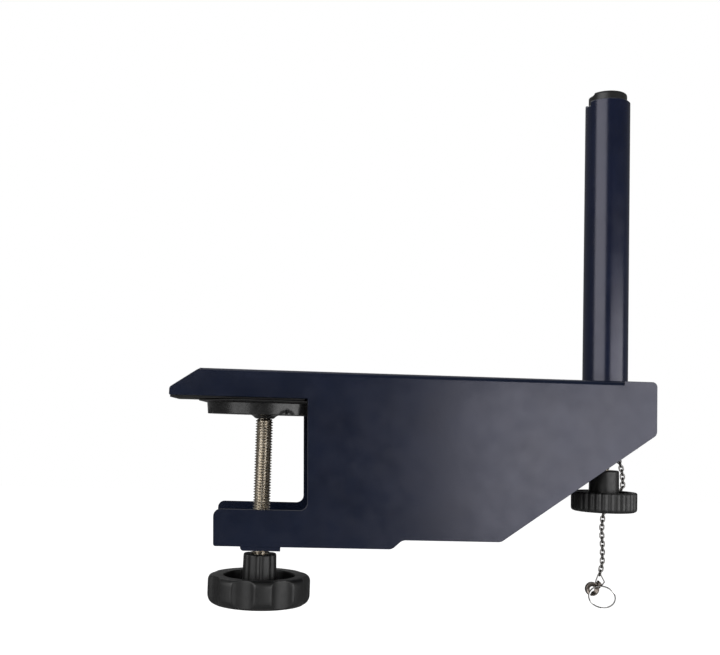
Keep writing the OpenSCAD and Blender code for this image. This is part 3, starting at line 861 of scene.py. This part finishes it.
def densified(profile: np.ndarray, step: float, closed: bool = False) -> np.ndarray:
    """Adds points along a profile's long stretches, so that none is longer than the step.

    Args:
        profile: The profile's points.
        step: Greatest distance between neighbours.
        closed: Whether the last point joins the first.

    Returns:
        The profile with the points added by linear interpolation over its length.
    """
    points = np.concatenate([profile, profile[:1]]) if closed else profile
    run = np.concatenate([[0.0], np.cumsum(np.linalg.norm(np.diff(points, axis=0), axis=1))])
    extra = np.arange(step, run[-1], step)
    at = np.sort(np.concatenate([run, extra]))
    at = at[np.concatenate([[True], np.diff(at) > 1e-5])]
    dense = np.stack([np.interp(at, run, points[:, k]) for k in range(points.shape[1])], axis=-1)
    return dense[:-1] if closed else dense


# ---- Post -------------------------------------------------------------------------------------


@dataclass
class Post:
    """The net post: a painted tube with a notch for the cord, its cap and its foot."""

    x: float = 142.0
    radius: float = 10.5
    inner_r: float = 9.0
    foot_r: float = 10.15
    paint_low: float = 13.8
    low: float = -11.0
    top: float = 148.2
    low_band: float = 60.0
    high_band: float = 105.0
    notch_half: float = 4.0
    notch_depth: float = 2.0
    rim: float = 0.3
    columns: int = 160
    notch_columns: int = 17
    cap_low: float = 140.2
    cap_top: float = 152.5
    cap_wall: float = 1.8
    crown: float = 1.2
    ledge: float = 151.0
    ledge_r: float = 7.1

    def columns_round(self, radius: float) -> tuple[np.ndarray, np.ndarray]:
        """Spreads columns round the axis, those between the notch's sides last.

        The column at each side is there twice, once with the rest and once with the notch's, so the
        side is crisp where the notch's columns are lowered.

        Args:
            radius: Radius at which the notch has its width.

        Returns:
            Each column's angle, and 1 in the notch or 0 outside it.
        """
        edge = math.asin(self.notch_half / radius)
        free = np.linspace(math.pi + edge, 3 * math.pi - edge, self.columns)
        cut = np.linspace(math.pi - edge, math.pi + edge, self.notch_columns)
        in_notch = np.concatenate([np.zeros(len(free)), np.ones(len(cut))])
        return np.concatenate([free, cut])[None, :], in_notch[None, :]

    def carried(self, radius: np.ndarray, angle: np.ndarray, height: np.ndarray) -> np.ndarray:
        """Carries a section round the post's axis: (x + r * cos a, r * sin a, z)."""
        return np.stack([self.x + radius * np.cos(angle), radius * np.sin(angle), height], axis=-1)

    def tube(self) -> None:
        """Makes the tube: its wall's section is carried round the axis, and the notch lowers its top."""
        angle, in_notch = self.columns_round(self.radius)
        rim = self.rim
        section = [
            (self.foot_r - rim, self.low, 0),
            (self.foot_r, self.low + rim, 0),
            (self.foot_r, self.paint_low - 0.1, 0),
            (self.radius, self.paint_low, 0),
            (self.radius, self.low_band, 0),
            (self.radius, self.high_band, 0),
            (self.radius, self.top - rim, 1),
            (self.radius - rim, self.top, 1),
            (self.inner_r + rim, self.top, 1),
            (self.inner_r, self.top - rim, 1),
            (self.inner_r, self.low_band, 0),
            (self.inner_r, self.low + rim, 0),
            (self.inner_r + rim, self.low, 0),
        ]
        radius, height, at_top = np.array(section).T[:, :, None]
        grid = self.carried(radius, angle, height - at_top * in_notch * self.notch_depth)
        dress(Skin().add(grid, True).piece("post_wall"), POST_PAINT, Body.POST, "post_tube")

    def cap(self) -> None:
        """Makes the cap: a hollow plug's section is carried round the axis, and the notch cuts a ledge.

        Between the notch's sides the crown's points are lowered to the ledge. The row at the ledge's
        inner end is there twice, so that edge is crisp too.
        """
        angle, in_notch = self.columns_round(self.inner_r)
        rim, inside = self.rim, self.inner_r - self.cap_wall
        head = [(share * self.ledge_r, self.cap_top) for share in (0.0, 0.5, 1.0)]
        corners = [
            (self.ledge_r, self.cap_top, 0),
            (self.inner_r, self.cap_top, self.crown),
            (self.inner_r, self.ledge, 0),
        ]
        crown = rounded(corners, 7)
        wall = [
            (self.inner_r, self.cap_low + rim),
            (self.inner_r - rim, self.cap_low),
            (inside + rim, self.cap_low),
            (inside, self.cap_low + rim),
            (inside, self.ledge - self.cap_wall),
            (0.0, self.ledge - self.cap_wall),
        ]
        radius, height = np.concatenate([head, crown, wall]).T[:, :, None]
        lowered = np.repeat([0.0, 1.0, 0.0], [len(head), len(crown), len(wall)])[:, None]
        grid = self.carried(radius, angle, height - lowered * in_notch * np.maximum(height - self.ledge, 0))
        dress(Skin().add(grid).piece("cap_shell"), CAP_PLASTIC, Body.POST, "post_cap")

    def build(self) -> None:
        """Makes the tube and its cap, and dresses the foot's plug and rivets."""
        self.tube()
        self.cap()
        dress(copied("foot_plug", 0.2), STEEL, Body.POST, "foot_plug")
        dress(copied("foot_rivets", 0.15), STEEL, Body.POST, "foot_rivets")


# ---- Height adjuster --------------------------------------------------------------------------


@dataclass
class HeightAdjuster:
    """The small fluted knob under the post, with its stud, nut and clip."""

    x: float = 142.0
    stud_r: float = 2.5
    pitch: float = 0.8
    depth: float = 0.46
    stud_low: float = -44.0
    stud_top: float = 5.0
    rim_r: float = 15.2
    rim_top: float = -38.0
    low: float = -47.2
    hub_r: float = 6.85
    hub_top: float = -28.0
    hollow_r: float = 12.7
    hollow_depth: float = 6.5
    flutes: int = 30
    flute_depth: float = 0.6
    under_r: float = 9.0
    under_rim_r: float = 10.2
    under_depth: float = 0.6

    @property
    def axis(self) -> tuple[float, float]:
        """Place of the stud's axis in X and Y."""
        return self.x, 0.0

    def stud(self) -> None:
        """Makes the stud: a threaded rod with chamfered ends."""
        rows = int((self.stud_top - self.stud_low) / self.pitch * 9)
        height = np.linspace(self.stud_low, self.stud_top, rows)
        rod = np.stack([np.full(rows, self.stud_r), height], axis=-1)
        profile = np.concatenate([[(0.0, self.stud_low)], rod, [(0.0, self.stud_top)]])
        thread = Thread(self.stud_r, self.pitch, self.depth, self.stud_top - 0.5)
        skin = Skin().add(lathe(profile, self.axis, 36, thread.cut))
        dress(skin.piece("height_stud"), STEEL, Body.ADJUSTER, "height_screw")

    def knob(self) -> None:
        """Makes the knob: a turned body with a finely fluted rim and a plain hub in its hollow."""
        floor = self.rim_top - self.hollow_depth
        bore_r = self.stud_r + 0.1
        corners = [
            (0.0, self.low + self.under_depth, 0.0),
            (self.under_r, self.low + self.under_depth, 0.5),
            (self.under_rim_r, self.low, 0.5),
            (self.rim_r, self.low, 1.9),
            (self.rim_r, self.rim_top, 0.9),
            (self.hollow_r, self.rim_top, 0.4),
            (self.hollow_r, floor, 0.6),
            (self.hub_r + 0.2, floor, 0.6),
            (self.hub_r, self.hub_top, 0.8),
            (bore_r, self.hub_top, 0.3),
            (bore_r, self.hub_top - 2.0, 0.0),
            (0.0, self.hub_top - 2.0, 0.0),
        ]
        profile = densified(rounded(corners, 8), 1.5)

        def flute(radius: np.ndarray, height: np.ndarray, angle: np.ndarray) -> np.ndarray:
            """Ribs the rim: between two ribs the radius falls by the flute's depth, as 1 - |cos|."""
            fall = self.flute_depth * (1 - np.abs(np.cos(self.flutes * angle / 2)))
            near = np.clip((radius - self.rim_r + 1.4) / 1.4, 0, 1)
            return radius - fall * near

        skin = Skin().add(lathe(profile, self.axis, self.flutes * 12, flute))
        dress(skin.piece("height_grip"), KNOB_PLASTIC, Body.ADJUSTER, "height_knob")

    def build(self) -> None:
        """Makes the stud and the knob, and dresses the nut and the clip."""
        self.stud()
        self.knob()
        dress(copied("lock_nut", 0.25), STEEL, Body.ADJUSTER, "lock_nut")
        dress(copied("screw_clip", 0.12), STEEL, Body.ADJUSTER, "screw_clip")


# ---- Chain, clasp and ring ----------------------------------------------------------------------


@dataclass
class Chain:
    """The bead-like chain of round links, its clasp and its split ring."""

    start: Sequence[float] = (153.3, 22.1, -15.5866)
    corners: tuple[tuple[float, float, float], ...] = (
        (0, 0, 0),
        (1.7, -1.1, -4.4),
        (4, -2.3, -10.4),
        (4.9, -2.6, -15.4),
        (5.2, -2.6, -20.9),
        (1.7, -2.6, -26.9),
        (-3.3, -2.6, -31.4),
        (-4.7, -2.6, -34.9),
        (-5.3, -2.6, -42.4),
        (-4.8, -2.6, -50.4),
        (-4.8, -2.6, -58.4),
        (-6.1, -2.6, -64.2),
    )
    links: int = 34
    pivot: int = 20
    wire: float = 0.75
    link_w: float = 2.7
    gap: float = 0.1
    anchor_centre: Sequence[float] = (153.3, 22.1, -13.5866)
    anchor_r: float = 2.45
    anchor_wire: float = 0.9
    bail_wire: float = 0.6
    clasp_offset: Sequence[float] = (-3.7, 0.0, -6.8)
    clasp_r: float = 3.33
    clasp_half: float = 1.2
    clasp_hole: float = 1.2
    clasp_land: float = 0.2
    clasp_rim: float = 0.45
    clasp_slot: float = 247.0
    slot_half: float = 0.3
    slot_flare: float = 0.115
    collar_offset: Sequence[float] = (-0.4, 0.0, -4.6)
    collar_axis: float = 219.0
    collar_r: float = 1.75
    collar_half: float = 1.1
    collar_groove_r: float = 1.35
    collar_groove_half: float = 0.3
    ring_r: float = 6.3
    ring_wire: float = 0.6
    ring_way: float = -38.0
    ring_tilt: float = 35.0
    ring_start: float = 0.9
    ring_turns: float = 1.92
    ring_shift: float = 0.155
    ring_kink: float = 0.22

    @property
    def route(self) -> np.ndarray:
        """Corners of the chain's middle line."""
        return np.asarray(self.start) + np.asarray(self.corners)

    @property
    def end(self) -> np.ndarray:
        """Lower end of the chain."""
        return self.route[-1]

    @property
    def clasp_at(self) -> np.ndarray:
        """Centre of the clasp's body."""
        return self.end + np.asarray(self.clasp_offset)

    def one_link(self, pitch: float) -> np.ndarray:
        """Gives a link about the origin: a half circle at each end of two straights, along Z."""
        bend = (self.link_w - self.wire) / 2
        straight = (pitch + self.gap + self.wire) / 2 - bend
        turn = np.radians(np.concatenate([np.linspace(0, 180, 15), np.linspace(180, 360, 15)]))
        rise = np.repeat([straight, -straight], 15)
        path = np.stack([bend * np.cos(turn), 0 * turn, bend * np.sin(turn) + rise], axis=-1)
        return tube(path, self.wire / 2, (0, 1, 0), 10, True)

    def build_links(self) -> None:
        """Lays the links on the route, each a pitch long and turned a quarter against the last.

        A link's place is the middle between two points of the route. Its length follows the line
        between them, its flat side faces Y as far as that line lets it.
        """
        route = self.route
        run = np.concatenate([[0.0], np.cumsum(np.linalg.norm(np.diff(route, axis=0), axis=1))])
        pitch = run[-1] / self.links
        at = np.arange(self.links + 1) * pitch
        stops = np.stack([np.interp(at, run, route[:, k]) for k in range(3)], axis=-1)
        along = np.diff(stops, axis=0)
        along /= np.linalg.norm(along, axis=1, keepdims=True)
        flat = np.array([0.0, 1.0, 0.0]) - along * along[:, 1:2]
        flat /= np.linalg.norm(flat, axis=1, keepdims=True)
        side = np.cross(flat, along)
        odd = (np.arange(self.links) % 2 == 1)[:, None]
        first, second = np.where(odd, flat, side), np.where(odd, -side, flat)
        turned = np.stack([first, second, along], axis=1)
        link = self.one_link(pitch)
        middle = (stops[:-1] + stops[1:]) / 2
        placed = np.einsum("abk,nkc->nabc", link, turned) + middle[:, None, None, :]
        spans = {
            "chain_top": (Body.BRACKET, 0, self.pivot),
            "chain_pivot_link": (Body.LINK, self.pivot, self.pivot + 1),
            "chain_drop": (Body.CHAIN, self.pivot + 1, self.links),
        }
        for node, (body, first_link, last_link) in spans.items():
            skin = Skin()
            for one in placed[first_link:last_link]:
                skin.add(one, True)
            # The links' darkened nickel is painted shade.
            dress(skin.piece(node + "_links"), CHAIN_PLATE_SHADED, body, node)

    def anchor(self) -> None:
        """Makes the ring that ties the chain to the cheek: a circle about X, a hair open."""
        turn = np.radians(np.linspace(96, 444, 64))
        path = np.stack([0 * turn, np.cos(turn), np.sin(turn)], axis=-1) * self.anchor_r
        grid = tube(path + np.asarray(self.anchor_centre), self.anchor_wire / 2, (1, 0, 0), 14)
        dress(Skin().add(grid).piece("anchor_wire_ring"), CHAIN_PLATE_SHADED, Body.BRACKET, "anchor_ring")

    def bail(self) -> None:
        """Makes the bent wire from the collar's inside over the last link and down to the clasp."""
        collar = np.asarray(self.collar_offset)
        corners = [
            (*collar, 0.0),
            (-2.0, 0.0, -3.3, 0.35),
            (-0.5, 0.0, 0.62, 0.25),
            (0.3, 0.0, 0.62, 0.25),
            (2.5, 0.0, -3.4, 0.35),
            (1.0, 0.0, -5.2, 0.0),
        ]
        path = densified(rounded(corners, 6), 0.4) + self.end
        grid = tube(path, self.bail_wire / 2, (0, 1, 0), 12)
        dress(Skin().add(grid).piece("clasp_wire"), CHAIN_PLATE_SHADED, Body.CLASP, "clasp_bail")

    def collar(self) -> None:
        """Makes the collar: a turned sleeve with a groove, whose lower end is hollowed for the body."""
        big, small = self.collar_r, self.collar_groove_r
        half, groove = self.collar_half, self.collar_groove_half
        corners = [
            (0.0, -half, 0.0),
            (big, -half, 0.2),
            (big, -groove, 0.1),
            (small, -groove, 0.05),
            (small, groove, 0.05),
            (big, groove, 0.1),
            (big, half, 0.2),
            (0.0, half, 0.0),
        ]
        local = lathe(rounded(corners, 4), (0.0, 0.0), 48)
        lean = math.radians(self.collar_axis)
        way = np.array([math.cos(lean), 0.0, math.sin(lean)])
        side = np.array([way[2], 0.0, -way[0]])
        turned = np.stack([side, [0.0, 1.0, 0.0], way])
        grid = self.clear_of_body(local @ turned + self.end + np.asarray(self.collar_offset))
        dress(Skin().add(grid).piece("collar_sleeve"), DARK_PLATE, Body.CLASP, "clasp_collar")

    def clear_of_body(self, grid: np.ndarray) -> np.ndarray:
        """Moves points that lie inside the clasp's round body straight out to its rim.

        Args:
            grid: Points in rows and columns.

        Returns:
            The same points, none of them nearer to the body's axis than its rim.
        """
        away = grid - self.clasp_at
        away[..., 1] = 0
        near = np.linalg.norm(away, axis=-1, keepdims=True)
        push = np.maximum(self.clasp_r - 0.02 - near, 0) / np.maximum(near, 1e-6)
        return grid + away * push

    def body(self) -> None:
        """Makes the clasp's body: a countersunk ring, open at a slot that widens outwards.

        The ring's section is carried round from one side of the slot to the other. At the radius r
        the slot's half angle is asin((half width + flare * r) / r).
        """
        rim, half, land = self.clasp_r, self.clasp_half, self.clasp_land
        corners = [
            (rim, -half, 0.3),
            (rim, half, 0.3),
            (rim - self.clasp_rim, half, 0.1),
            (self.clasp_hole, land, 0.08),
            (self.clasp_hole, -land, 0.08),
            (rim - self.clasp_rim, -half, 0.1),
        ]
        radius, depth = rounded(corners, 4, True).T[:, :, None]
        open_half = np.arcsin((self.slot_half + self.slot_flare * radius) / radius)
        share = np.linspace(0, 1, 72)[None, :]
        angle = math.radians(self.clasp_slot) + open_half + share * (TAU - 2 * open_half)
        offset = [radius * np.cos(angle), depth + 0 * angle, radius * np.sin(angle)]
        grid = np.stack(offset, axis=-1) + self.clasp_at
        centres = grid.mean(axis=0, keepdims=True)
        ends = np.broadcast_to(centres[:, [0, -1]], (len(grid), 2, 3))
        closed = np.concatenate([ends[:, :1], grid, ends[:, 1:]], axis=1)
        skin = Skin().add(closed, wrap_rows=True, wrap_cols=False)
        dress(skin.piece("clasp_disc"), DARK_PLATE, Body.CLASP, "clasp_body")

    def ring(self) -> None:
        """Makes the split ring: two close turns of flat wire, which swap places at a kink."""
        way = math.radians(self.ring_way)
        tilt = math.radians(self.ring_tilt)
        out = np.array([math.cos(way), 0.0, math.sin(way)])
        down = np.array([-out[2], 0.0, out[0]])
        up = math.cos(tilt) * np.array([0.0, 1.0, 0.0]) + math.sin(tilt) * down
        side = np.cross(up, out)
        turn = np.linspace(self.ring_start, self.ring_start + self.ring_turns * TAU, 220)
        shift = self.ring_shift * np.tanh((turn - turn.mean()) / self.ring_kink)
        centre = self.clasp_at + out * self.ring_r
        path = centre + self.ring_r * (np.cos(turn)[:, None] * out + np.sin(turn)[:, None] * side)
        grid = tube(path + shift[:, None] * up, self.ring_wire / 2, up, 10, flat=0.5)
        # The ring's lightened nickel paints its highlights.
        dress(Skin().add(grid).piece("split_ring_wire"), RING_PLATE_LIT, Body.RING, "split_ring")

    def build(self) -> None:
        """Makes the anchor ring, the links, the clasp's three pieces and the split ring."""
        self.anchor()
        self.build_links()
        self.bail()
        self.collar()
        self.body()
        self.ring()


def main() -> None:
    """Builds the camera, the studio and every sub-assembly."""
    logging.basicConfig(level=logging.INFO, format="%(name)s: %(message)s")
    for part in (StudioCamera(), Studio(), Bracket(), ClampScrew(), Post(), HeightAdjuster(), Chain()):
        log.info("building %s", type(part).__name__)
        part.build()


if __name__ == "__main__":
    main()
